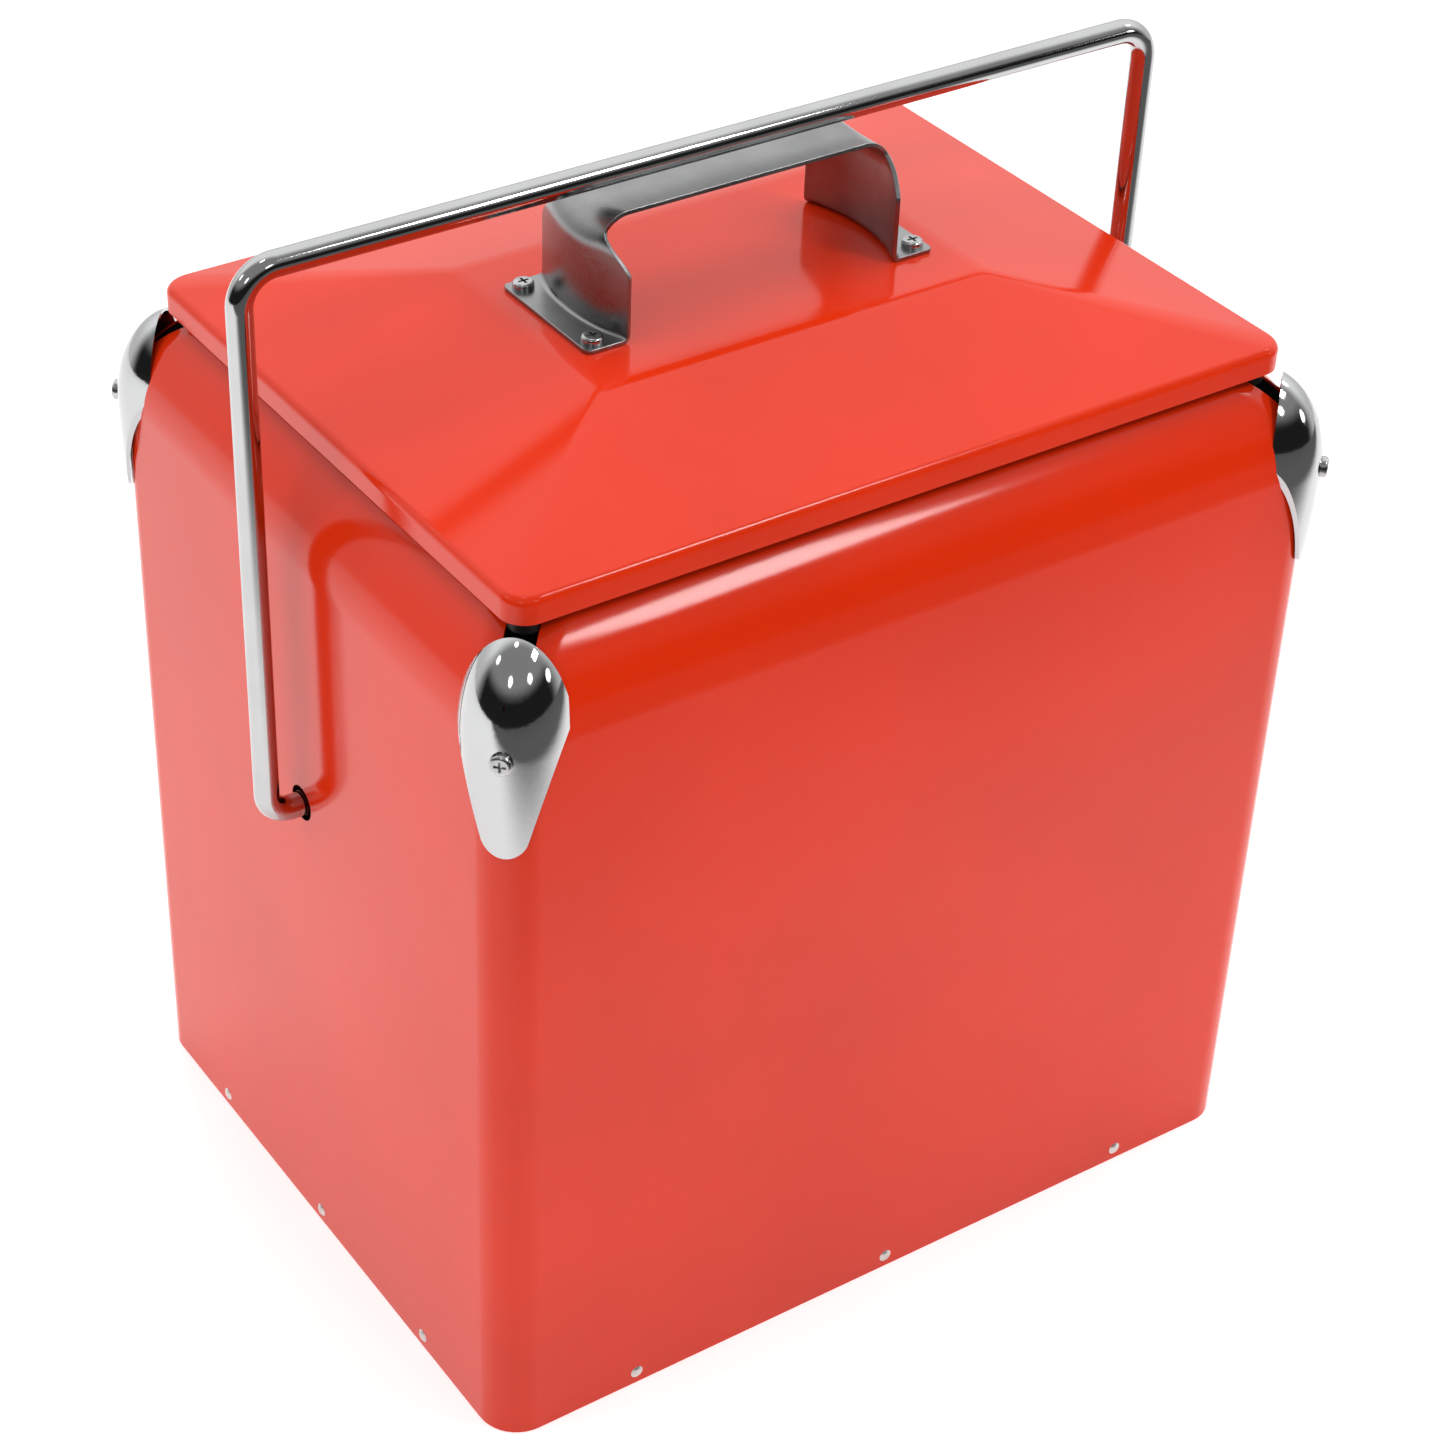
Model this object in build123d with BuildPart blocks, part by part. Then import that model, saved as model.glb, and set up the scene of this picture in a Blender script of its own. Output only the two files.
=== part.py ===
"""Steel-clad picnic cooler: red body with chromed corner guards, lift-off lid and swing-over bail.

Millimetres, +Z up. The origin is the centre of the footprint, at the level the cooler stands on.
X runs along the long side and -Y is the front.
"""

from build123d import *
from math import acos, atan2, cos, degrees, hypot, radians
import os

# Driving dimensions ---------------------------------------------------------------------------

# Body shell
body_length = 320.0
body_depth = 253.0
body_height = 322.0
body_corner_radius = 14.0
shoulder_radius = 38.0
sheet = 0.8
mouth_land = 1.5
mouth_corner_radius = 12.0
seam_width = 10.0
seam_reach = 8.0
seam_length = 29.0
seam_depth = 22.0

# Base pan and its rivets
pan_flange_height = 11.0
pan_edge_radius = 1.2
pan_rim_width = 20.0
pan_raise = 2.5
rivet_height = 5.0
rivet_end_margin_x = 54.0
rivet_end_margin_y = 53.5
rivet_head_diameter = 4.8
rivet_head_height = 0.9
rivet_shank_diameter = 2.4
rivet_bulb_diameter = 3.8
rivet_bulb_length = 2.0
rivet_pocket_margin = 1.0

# Liner and insulation
liner_wall = 2.0
liner_clearance = 0.3
liner_draft = 0.5
liner_floor_height = 26.0
liner_floor_radius = 10.0
liner_flange_width = 5.0
liner_flange_thickness = 1.5
liner_flange_round = 0.9
foam_gap = 1.5

# Lid
lid_inset = 13.3
lid_corner_radius = 8.6
lid_overlap = 3.0
lid_rim_height = 8.6
lid_crown = 15.4
lid_edge_radius = 2.6
plateau_depth = 90.0
plateau_margin = 7.0
plateau_corner_radius = 4.0
lid_liner_thickness = 1.6
lid_liner_lift = 1.9
plug_clearance = 1.7
plug_depth = 14.0
plug_corner_radius = 10.0
plug_edge_radius = 3.0
gasket_inset = 17.0
gasket_width = 15.0
gasket_corner_radius = 5.0
gasket_hang = 8.5
gasket_clearance = 0.4

# Lid handle, one bent strap
strap = 1.5
handle_half_length = 57.5
handle_width = 51.0
handle_bow = 5.5
handle_height = 39.4
handle_bend_radius = 11.0
handle_shoulder_radius = 6.0
handle_waist_radius = 4.0
handle_trim = 1.0
bridge_width = 28.0
bridge_dish = 1.8
shoulder_drop = 11.5
shoulder_rise = 8.5
flange_end = 67.0
flange_corner_radius = 2.0
handle_screw_x = 62.0
handle_screw_y = 20.5

# Bail
rod_diameter = 8.5
bail_side_gap = 8.25
bail_lip_gap = 2.35
pivot_drop = 132.0
bail_top_bend = 12.0
bail_foot_bend = 8.5
rod_end_chamfer = 0.8
rod_tail = 2.3

# Bail pivots
running_clearance = 0.05
end_float = 0.3
bush_wall = 2.0
bush_flange_diameter = 20.0
bush_flange_thickness = 1.5
plate_width = 44.0
plate_height = 60.0
plate_thickness = 1.5
plate_corner_radius = 5.0
washer_diameter = 17.0
washer_thickness = 1.0
washer_clearance = 0.15
retainer_diameter = 14.0
retainer_thickness = 1.2
retainer_edge = 0.3
pocket_margin = 1.5

# Corner guards
guard_thickness = 1.1
guard_standoff = 3.2
guard_centre_back = 6.0
guard_waist_drop = 1.0
guard_half_width = 18.4
guard_crest_drop = 4.4
guard_tail_height = 95.0
guard_tip_drop = 74.0
guard_tip_radius = 7.5
guard_waist_half_width = 17.6
guard_waist_rise = 9.0
guard_trim = 1.5
guard_screw_drop = 38.0
guard_seat_depth = 0.45

# Screws and nuts
screw_diameter = 4.0
screw_head_diameter = 7.2
screw_head_height = 2.4
screw_head_round = 1.1
screw_length = 9.0
recess_width = 0.9
recess_length = 3.8
recess_depth = 1.3
hole_clearance = 0.15
nut_across_flats = 7.0
nut_thickness = 3.0
nut_pocket_margin = 1.0
nut_gap = 0.7

# How far either side of a level an edge or corner may lie and still count as on it
on_level = 0.01

# Levels and outlines that follow from them ----------------------------------------------------

lid_length = body_length - 2 * lid_inset
lid_depth = body_depth - 2 * lid_inset
lid_bottom = body_height - lid_overlap
lid_rim_top = lid_bottom + lid_rim_height
lid_top = lid_rim_top + lid_crown
lid_liner_bottom = body_height + lid_liner_lift
lid_liner_top = lid_liner_bottom + lid_liner_thickness
plateau_length = 2 * (flange_end + plateau_margin)
lid_slope = 2 * lid_crown / (lid_depth - plateau_depth)
# Fall of the rim's inner top for each unit of inset, which keeps the two faces of a slope parallel
lid_rim_fall = hypot(1, lid_slope) - lid_slope

mouth_inset = shoulder_radius + mouth_land
cavity_inset = mouth_inset + liner_clearance + liner_wall
plug_inset = cavity_inset + plug_clearance
plug_bottom = lid_liner_bottom - plug_depth

rod_radius = rod_diameter / 2
handle_lip = lid_top + handle_height
bail_bar_height = handle_lip + bail_lip_gap + rod_radius
pivot_height = body_height - pivot_drop
bail_half_width = body_length / 2 + bail_side_gap + rod_radius
bush_bore_radius = rod_radius + running_clearance
bush_radius = bush_bore_radius + bush_wall

# Distances in from the outer face of a side wall, along a bail pivot
plate_back = sheet + plate_thickness
bush_back = plate_back + bush_flange_thickness
washer_front = bush_back + end_float
washer_back = washer_front + washer_thickness
retainer_back = washer_back + retainer_thickness
rod_end = retainer_back + rod_tail

guard_waist = body_height - shoulder_radius - guard_waist_drop
guard_reach = body_corner_radius + guard_standoff
guard_screw_height = body_height - guard_screw_drop
guard_seat = guard_reach - guard_seat_depth
guard_nut_seat = body_corner_radius - sheet - nut_gap
nut_across_corners = nut_across_flats / cos(radians(30))

# One plane for each vertical body corner: origin on the axis of the corner's bend, at the base,
# with its x direction pointing out of the corner
corner_x = body_length / 2 - body_corner_radius
corner_y = body_depth / 2 - body_corner_radius
corners = {
    "front_left": Plane((-corner_x, -corner_y, 0), x_dir=(-1, -1, 0)),
    "front_right": Plane((corner_x, -corner_y, 0), x_dir=(1, -1, 0)),
    "back_left": Plane((-corner_x, corner_y, 0), x_dir=(-1, 1, 0)),
    "back_right": Plane((corner_x, corner_y, 0), x_dir=(1, 1, 0)),
}
sides = {"left": -1, "right": 1}


def save(part, name):
    """Label a finished piece and write it under its own name."""
    part.label = name
    export_step(part, f"parts/{name}.step")


# Shared forms ---------------------------------------------------------------------------------


def inset_block(inset, radius, bottom, top):
    """Upright block with rounded corners, set in from the body's outline on all four sides."""
    with BuildPart() as block:
        with BuildSketch(Plane.XY.offset(bottom)):
            RectangleRounded(body_length - 2 * inset, body_depth - 2 * inset, radius)
        extrude(amount=top - bottom)
    return block.part


def body_form(inset, bottom):
    """Solid inside the body's outer face, set in by inset: upright walls under bent-in shoulders."""
    top = body_height - inset
    length = body_length - 2 * inset
    depth = body_depth - 2 * inset
    with BuildPart() as form:
        with BuildSketch(Plane.XY.offset(bottom)):
            RectangleRounded(length, depth, body_corner_radius - inset)
        extrude(amount=top - bottom)
        for plane, width, reach in ((Plane.XZ, length, depth), (Plane.YZ, depth, length)):
            with BuildSketch(plane) as profile:
                with Locations((0, (bottom + top) / 2)):
                    Rectangle(width, top - bottom)
                fillet(profile.vertices().group_by(Axis.Y)[-1], shoulder_radius - inset)
            extrude(amount=reach, both=True, mode=Mode.INTERSECT)
    return form.part


def corner_slots(width, inner_end, outer_end, bottom):
    """Upright slot through each body corner, between two distances out from the corner's axis."""
    with BuildPart() as slots:
        for plane in corners.values():
            with BuildSketch(plane.offset(bottom)):
                with Locations(((inner_end + outer_end) / 2, 0)):
                    Rectangle(outer_end - inner_end, width)
            extrude(amount=2 * body_height)
    return slots.part


def lid_form(inset):
    """Solid under the lid's outer face, set in by inset: upright rim, hipped slopes, flat top."""
    rim_top = lid_rim_top - lid_rim_fall * inset
    with BuildPart() as form:
        with BuildSketch(Plane.XY.offset(lid_bottom)):
            RectangleRounded(lid_length - 2 * inset, lid_depth - 2 * inset, lid_corner_radius - inset)
        extrude(amount=rim_top - lid_bottom)
        with BuildSketch(Plane.XY.offset(rim_top)):
            RectangleRounded(lid_length - 2 * inset, lid_depth - 2 * inset, lid_corner_radius - inset)
        with BuildSketch(Plane.XY.offset(lid_top - inset)):
            RectangleRounded(plateau_length, plateau_depth, plateau_corner_radius)
        loft(ruled=True)
        rim_edges = form.edges().filter_by_position(Axis.Z, rim_top - on_level, rim_top + on_level)
        fillet(rim_edges, lid_edge_radius - inset)
    return form.part


def egg(skin):
    """Solid egg set in by skin: a low dome above its widest level and a long tail below it."""
    half_length = guard_reach + guard_centre_back - skin
    half_width = guard_half_width - skin
    dome = body_height - guard_crest_drop - guard_waist - skin
    tail = guard_tail_height - skin
    upper = Sphere(1, arc_size1=0, align=(Align.CENTER, Align.CENTER, Align.MIN))
    lower = Sphere(1, arc_size2=0, align=(Align.CENTER, Align.CENTER, Align.MAX))
    return scale(upper, by=(half_length, half_width, dome)) + scale(lower, by=(half_length, half_width, tail))


def handle_form(inset):
    """Solid inside the lid handle's strap: bowed ends under a dished top, set in by inset."""
    bow_radius = ((handle_width / 2) ** 2 + handle_bow**2) / (2 * handle_bow)
    dish_radius = ((bridge_width / 2) ** 2 + bridge_dish**2) / (2 * bridge_dish)
    centre = handle_half_length - bow_radius
    top = handle_lip + 2 * bridge_dish
    with BuildPart() as form:
        with BuildSketch(Plane.XY.offset(lid_top)):
            with Locations((centre, 0)):
                Circle(bow_radius - inset)
            with Locations((-centre, 0)):
                Circle(bow_radius - inset, mode=Mode.INTERSECT)
            Rectangle(2 * handle_half_length, handle_width + 2 * handle_trim, mode=Mode.INTERSECT)
        extrude(amount=top - lid_top)
        with BuildSketch(Plane.YZ):
            with Locations((0, handle_lip - bridge_dish + dish_radius)):
                Circle(dish_radius + inset)
        extrude(amount=body_length, both=True, mode=Mode.SUBTRACT)
        bends = form.edges().filter_by_position(Axis.Z, lid_top + handle_bend_radius, top).sort_by(Axis.X)
        fillet([bends[0], bends[-1]], handle_bend_radius - inset)
    return form.part


# Fasteners, each made standing on the level of its seat with its head towards +Z --------------


def rivet():
    """Blind rivet: low domed head, shank, and the bulb that forms behind the pan's flange."""
    grip = 2 * sheet
    dome_radius = ((rivet_head_diameter / 2) ** 2 + rivet_head_height**2) / (2 * rivet_head_height)
    with BuildPart() as fastener:
        with BuildSketch(Plane.XZ):
            with BuildLine():
                RadiusArc((0, rivet_head_height), (rivet_head_diameter / 2, 0), dome_radius)
                Polyline(
                    (rivet_head_diameter / 2, 0),
                    (rivet_shank_diameter / 2, 0),
                    (rivet_shank_diameter / 2, -grip),
                    (rivet_bulb_diameter / 2, -grip),
                    (rivet_bulb_diameter / 2, -grip - rivet_bulb_length),
                    (0, -grip - rivet_bulb_length),
                    (0, rivet_head_height),
                )
            make_face()
        revolve(axis=Axis.Z)
    return fastener.part


def screw(length):
    """Pan-head screw with a cross recess; the thread is left plain."""
    with BuildPart() as fastener:
        Cylinder(screw_head_diameter / 2, screw_head_height, align=(Align.CENTER, Align.CENTER, Align.MIN))
        fillet(fastener.edges().sort_by(Axis.Z)[-1], screw_head_round)
        with BuildSketch(Plane.XY.offset(screw_head_height)):
            Rectangle(recess_length, recess_width)
            Rectangle(recess_width, recess_length)
        extrude(amount=-recess_depth, mode=Mode.SUBTRACT)
        with BuildSketch():
            Circle(screw_diameter / 2)
        extrude(amount=-length)
        chamfer(fastener.edges().sort_by(Axis.Z)[0], screw_diameter / 8)
    return fastener.part


def nut():
    """Hexagon nut whose upper face is at the level of its seat."""
    with BuildPart() as fastener:
        with BuildSketch():
            RegularPolygon(nut_across_flats / 2, 6, major_radius=False)
            Circle(screw_diameter / 2, mode=Mode.SUBTRACT)
        extrude(amount=-nut_thickness)
    return fastener.part


def group(piece, planes, name):
    """Write one fastener repeated on several planes as a group of separate solids."""
    with BuildPart() as pieces:
        with Locations(*[plane.location for plane in planes]):
            add(piece)
    save(pieces.part, name)


def wall_plane(side, inset):
    """Plane across a side wall at the bail pivot, inset from its outer face, facing inwards."""
    return Plane(
        (side * (body_length / 2 - inset), 0, pivot_height), x_dir=(0, 1, 0), z_dir=(-side, 0, 0)
    )


def corner_screw_plane(corner, distance):
    """Plane across a corner guard's screw, at a distance out from the corner's axis, facing out."""
    axis = corners[corner]
    origin = axis.origin + axis.x_dir * distance + Vector(0, 0, guard_screw_height)
    return Plane(origin, x_dir=(0, 0, 1), z_dir=axis.x_dir)


# Rivet positions along each side of the base, as planes on the shell's outer face facing out
rivet_x = body_length / 2 - rivet_end_margin_x
rivet_y = body_depth / 2 - rivet_end_margin_y
rivet_planes = {
    "front": [Plane((x, -body_depth / 2, rivet_height), z_dir=(0, -1, 0)) for x in (-rivet_x, 0, rivet_x)],
    "back": [Plane((x, body_depth / 2, rivet_height), z_dir=(0, 1, 0)) for x in (-rivet_x, 0, rivet_x)],
    "left": [Plane((-body_length / 2, y, rivet_height), z_dir=(-1, 0, 0)) for y in (-rivet_y, 0, rivet_y)],
    "right": [Plane((body_length / 2, y, rivet_height), z_dir=(1, 0, 0)) for y in (-rivet_y, 0, rivet_y)],
}
all_rivet_locations = [plane.location for planes in rivet_planes.values() for plane in planes]
guard_screw_locations = [corner_screw_plane(name, 0).location for name in corners]
handle_screw_points = [
    (x, y) for x in (-handle_screw_x, handle_screw_x) for y in (-handle_screw_y, handle_screw_y)
]

# Body shell -----------------------------------------------------------------------------------

body_outside = body_form(0, 0)
body_inside = body_form(sheet, -sheet)
mouth = inset_block(mouth_inset, mouth_corner_radius, body_height - 2 * sheet, body_height + sheet)
# Neighbouring shoulders stop short of each other, which leaves a slot down each corner
seam_slots = corner_slots(seam_width, seam_reach - seam_length, seam_reach, body_height - seam_depth)

with BuildPart() as outer_shell:
    add(body_outside)
    add(body_inside, mode=Mode.SUBTRACT)
    add(mouth, mode=Mode.SUBTRACT)
    add(seam_slots, mode=Mode.SUBTRACT)
    with Locations(*all_rivet_locations):
        Cylinder(rivet_shank_diameter / 2, 4 * sheet, mode=Mode.SUBTRACT)
    for side in sides.values():
        with Locations(wall_plane(side, 0).location):
            Cylinder(bush_radius, 4 * sheet, mode=Mode.SUBTRACT)
    with Locations(*guard_screw_locations):
        Cylinder(
            screw_diameter / 2 + hole_clearance,
            2 * body_corner_radius,
            align=(Align.CENTER, Align.CENTER, Align.MIN),
            mode=Mode.SUBTRACT,
        )
save(outer_shell.part, "outer_shell")

# Base pan: turned-up flange inside the shell, middle pressed up clear of the ground -----------

pan_floor = inset_block(sheet + pan_rim_width, body_corner_radius, 0, pan_raise)
pan_panel = inset_block(pan_rim_width, body_corner_radius, 0, pan_raise + sheet)
pan_inside = inset_block(2 * sheet, body_corner_radius - 2 * sheet, sheet, 2 * pan_flange_height)
pan_blank = inset_block(sheet, body_corner_radius - sheet, 0, pan_flange_height)

with BuildPart() as base_pan:
    add(pan_blank)
    fillet(base_pan.edges().group_by(Axis.Z)[0], pan_edge_radius)
    add(pan_inside, mode=Mode.SUBTRACT)
    add(pan_panel)
    add(pan_floor, mode=Mode.SUBTRACT)
    with Locations(*all_rivet_locations):
        Cylinder(rivet_shank_diameter / 2, 6 * sheet, mode=Mode.SUBTRACT)
save(base_pan.part, "base_pan")

rivet_piece = rivet()
for side_name, planes in rivet_planes.items():
    group(rivet_piece, planes, f"base_rivets_{side_name}")

# Inner liner: drafted tub hung in the mouth from a flange that lies on the shell --------------

flange_inset = mouth_inset - liner_flange_width
liner_outside_inset = mouth_inset + liner_clearance
liner_top = body_height + liner_flange_thickness

liner_flange = inset_block(flange_inset, mouth_corner_radius + liner_flange_width, body_height, liner_top)


def drafted_tub(inset, radius, bottom, bottom_radius):
    """Tub-shaped solid hanging from the liner's top, narrowing downwards by the liner's draft."""
    with BuildPart() as tub:
        with BuildSketch(Plane((0, 0, liner_top), x_dir=(1, 0, 0), z_dir=(0, 0, -1))):
            RectangleRounded(body_length - 2 * inset, body_depth - 2 * inset, radius)
        extrude(amount=liner_top - bottom, taper=liner_draft)
        fillet(tub.edges().group_by(Axis.Z)[0], bottom_radius)
    return tub.part


liner_outside = drafted_tub(
    liner_outside_inset,
    mouth_corner_radius - liner_clearance,
    liner_floor_height - liner_wall,
    liner_floor_radius - liner_draft,
)
cavity = drafted_tub(
    cavity_inset,
    mouth_corner_radius - liner_clearance - liner_wall,
    liner_floor_height,
    liner_floor_radius - liner_draft - liner_wall,
)

with BuildPart() as inner_liner:
    add(liner_flange)
    fillet(inner_liner.edges().group_by(Axis.Z)[-1], liner_flange_round)
    add(liner_outside)
    add(cavity, mode=Mode.SUBTRACT)
save(inner_liner.part, "inner_liner")

# Body insulation: foam between shell and liner, with pockets for the fasteners and pivots -----

foam_blank = body_form(sheet + foam_gap, pan_raise + sheet)
foam_slot_width = seam_width + foam_gap
foam_seams = corner_slots(
    foam_slot_width, seam_reach - seam_length - foam_gap, seam_reach, body_height - seam_depth - foam_gap
)
foam_screw_slots = corner_slots(
    foam_slot_width,
    guard_seat - screw_length - foam_gap,
    2 * body_corner_radius,
    guard_screw_height - nut_across_flats,
)

with BuildPart() as body_insulation:
    add(foam_blank)
    add(liner_outside, mode=Mode.SUBTRACT)
    add(foam_seams, mode=Mode.SUBTRACT)
    add(foam_screw_slots, mode=Mode.SUBTRACT)
    with Locations(*all_rivet_locations):
        Cylinder(
            rivet_bulb_diameter / 2 + rivet_pocket_margin,
            2 * (2 * sheet + rivet_bulb_length + rivet_pocket_margin),
            mode=Mode.SUBTRACT,
        )
    for side in sides.values():
        with BuildSketch(wall_plane(side, 0)):
            RectangleRounded(
                plate_width + 2 * foam_gap,
                plate_height + 2 * foam_gap,
                plate_corner_radius + foam_gap,
            )
        extrude(amount=plate_back + end_float, mode=Mode.SUBTRACT)
        with BuildSketch(wall_plane(side, 0)):
            Circle(bush_flange_diameter / 2 + pocket_margin)
        extrude(amount=rod_end + pocket_margin, mode=Mode.SUBTRACT)
save(body_insulation.part, "body_insulation")

# Bail pivots: backing plate, flanged bush, washer and push-on retainer on each side -----------

for side_name, side in sides.items():
    with BuildPart() as pivot_plate:
        with BuildSketch(wall_plane(side, sheet)):
            RectangleRounded(plate_width, plate_height, plate_corner_radius)
            Circle(bush_radius, mode=Mode.SUBTRACT)
        extrude(amount=plate_thickness)
    save(pivot_plate.part, f"pivot_plate_{side_name}")

    with BuildPart() as bail_bush:
        with BuildSketch(wall_plane(side, 0)):
            Circle(bush_radius)
        extrude(amount=bush_back)
        with BuildSketch(wall_plane(side, plate_back)):
            Circle(bush_flange_diameter / 2)
        extrude(amount=bush_flange_thickness)
        with BuildSketch(wall_plane(side, 0)):
            Circle(bush_bore_radius)
        extrude(amount=bush_back, mode=Mode.SUBTRACT)
    save(bail_bush.part, f"bail_bush_{side_name}")

    with BuildPart() as bail_washer:
        with BuildSketch(wall_plane(side, washer_front)):
            Circle(washer_diameter / 2)
            Circle(rod_radius + washer_clearance, mode=Mode.SUBTRACT)
        extrude(amount=washer_thickness)
    save(bail_washer.part, f"bail_washer_{side_name}")

    with BuildPart() as bail_retainer:
        with BuildSketch(wall_plane(side, washer_back)):
            Circle(retainer_diameter / 2)
            Circle(rod_radius, mode=Mode.SUBTRACT)
        extrude(amount=retainer_thickness)
        rims = bail_retainer.edges().filter_by(GeomType.CIRCLE).sort_by(SortBy.RADIUS)
        chamfer(rims[-1], retainer_edge)
    save(bail_retainer.part, f"bail_retainer_{side_name}")

# Bail: one round rod over the lid, its ends turned in through the side walls ------------------

rod_tip = body_length / 2 - rod_end

with BuildPart() as bail:
    with BuildLine() as bail_path:
        FilletPolyline(
            (-rod_tip, 0, pivot_height),
            (-bail_half_width, 0, pivot_height),
            (-bail_half_width, 0, bail_bar_height),
            (bail_half_width, 0, bail_bar_height),
            (bail_half_width, 0, pivot_height),
            (rod_tip, 0, pivot_height),
            radius=[bail_foot_bend, bail_top_bend, bail_top_bend, bail_foot_bend],
        )
    with BuildSketch(Plane((-rod_tip, 0, pivot_height), z_dir=(-1, 0, 0))):
        Circle(rod_radius)
    sweep(path=bail_path.wires()[0])
    round_edges = bail.edges().filter_by(GeomType.CIRCLE)
    end_edges = round_edges.filter_by_position(Axis.X, -rod_tip - on_level, rod_tip + on_level)
    chamfer(end_edges, rod_end_chamfer)
save(bail.part, "bail")

# Corner guards and their screws ---------------------------------------------------------------

guard_outside = egg(0)
guard_inside = egg(guard_thickness)
guard_shoulder = guard_waist + guard_waist_rise
guard_tip_centre = body_height - guard_tip_drop + guard_tip_radius
# Angle, from level, at which the sloping sides run tangent into the rounded tip
shoulder_above_tip = guard_shoulder - guard_tip_centre
lean = atan2(shoulder_above_tip, guard_waist_half_width)
tip_angle = degrees(lean - acos(guard_tip_radius / hypot(guard_waist_half_width, shoulder_above_tip)))

for corner_name, corner in corners.items():
    centre = corner.offset(guard_waist).location * Location((-guard_centre_back, 0, 0))
    face = Plane(corner.origin, x_dir=corner.z_dir.cross(corner.x_dir), z_dir=corner.x_dir)
    with BuildPart() as corner_guard:
        add(centre * guard_outside)
        add(centre * guard_inside, mode=Mode.SUBTRACT)
        add(body_outside, mode=Mode.SUBTRACT)
        with BuildSketch(corner.offset(guard_waist - guard_tail_height)):
            with Locations((-guard_trim - body_corner_radius, 0)):
                Rectangle(2 * body_corner_radius, 4 * guard_half_width)
        extrude(amount=2 * guard_tail_height, mode=Mode.SUBTRACT)
        with BuildSketch(face):
            with BuildLine():
                right = guard_waist_half_width
                right_side = Line((right, body_height), (right, guard_shoulder))
                left_side = Line((-right, body_height), (-right, guard_shoulder))
                Line(right_side @ 0, left_side @ 0)
                tip_sweep = 180 + 2 * tip_angle
                tip_arc = CenterArc((0, guard_tip_centre), guard_tip_radius, 180 - tip_angle, tip_sweep)
                Line(right_side @ 1, tip_arc @ 1)
                Line(left_side @ 1, tip_arc @ 0)
            make_face()
        extrude(amount=2 * guard_reach, mode=Mode.INTERSECT)
        with Locations(corner_screw_plane(corner_name, guard_seat).location):
            Cylinder(
                screw_head_diameter / 2 + hole_clearance,
                screw_head_height,
                align=(Align.CENTER, Align.CENTER, Align.MIN),
                mode=Mode.SUBTRACT,
            )
            Cylinder(screw_diameter / 2 + hole_clearance, 4 * guard_thickness, mode=Mode.SUBTRACT)
    save(corner_guard.part, f"corner_guard_{corner_name}")

screw_piece = screw(screw_length)
nut_piece = nut()
group(
    screw_piece,
    [corner_screw_plane(name, guard_seat) for name in corners],
    "corner_guard_screws",
)
group(
    nut_piece,
    [corner_screw_plane(name, guard_nut_seat) for name in corners],
    "corner_guard_nuts",
)

# Lid: steel skin over foam, closed below by a moulded liner whose plug fills the mouth --------

lid_outside = lid_form(0)
lid_inside = lid_form(sheet)
plug = inset_block(plug_inset, plug_corner_radius, plug_bottom, lid_liner_top)
plug_hollow = inset_block(
    plug_inset + lid_liner_thickness,
    plug_corner_radius - lid_liner_thickness,
    plug_bottom + lid_liner_thickness,
    lid_liner_top,
)
nut_pocket_radius = nut_across_corners / 2 + nut_pocket_margin

with BuildPart() as lid_skin:
    add(lid_outside)
    add(lid_inside, mode=Mode.SUBTRACT)
    with Locations((0, 0, lid_top)):
        with Locations(*handle_screw_points):
            Cylinder(screw_diameter / 2 + hole_clearance, 4 * sheet, mode=Mode.SUBTRACT)
save(lid_skin.part, "lid_skin")

with BuildPart() as lid_liner:
    add(inset_block(lid_inset + sheet, lid_corner_radius - sheet, lid_liner_bottom, lid_liner_top))
    add(plug)
    fillet(lid_liner.edges().group_by(Axis.Z)[0], plug_edge_radius)
    add(plug_hollow, mode=Mode.SUBTRACT)
save(lid_liner.part, "lid_liner")

with BuildPart() as lid_insulation:
    add(lid_inside)
    add(
        inset_block(0, body_corner_radius, lid_bottom - sheet, lid_liner_top),
        mode=Mode.SUBTRACT,
    )
    add(plug_hollow)
    with Locations((0, 0, lid_top)):
        with Locations(*handle_screw_points):
            Cylinder(nut_pocket_radius, 2 * (screw_length + nut_pocket_margin), mode=Mode.SUBTRACT)
save(lid_insulation.part, "lid_insulation")

body_clearance = body_form(-gasket_clearance, body_height - 2 * shoulder_radius)
open_seams = corner_slots(
    seam_width - 2 * gasket_clearance,
    seam_reach - seam_length + gasket_clearance,
    seam_reach,
    body_height - seam_depth,
)
with BuildPart() as gasket_seat:
    add(body_clearance)
    add(open_seams, mode=Mode.SUBTRACT)

with BuildPart() as lid_gasket:
    add(inset_block(gasket_inset, gasket_corner_radius, body_height - gasket_hang, lid_liner_bottom))
    add(
        inset_block(
            gasket_inset + gasket_width, gasket_corner_radius, body_height - gasket_hang, lid_liner_bottom
        ),
        mode=Mode.SUBTRACT,
    )
    add(gasket_seat.part, mode=Mode.SUBTRACT)
save(lid_gasket.part, "lid_gasket")

# Lid handle: a strap bent into two bowed legs, a dished bridge and two screwed-down feet ------

strap_outside = handle_form(0)
strap_inside = handle_form(strap)
bridge_half = bridge_width / 2
shoulder_level = handle_lip - shoulder_drop
waist_level = shoulder_level + shoulder_rise

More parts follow.
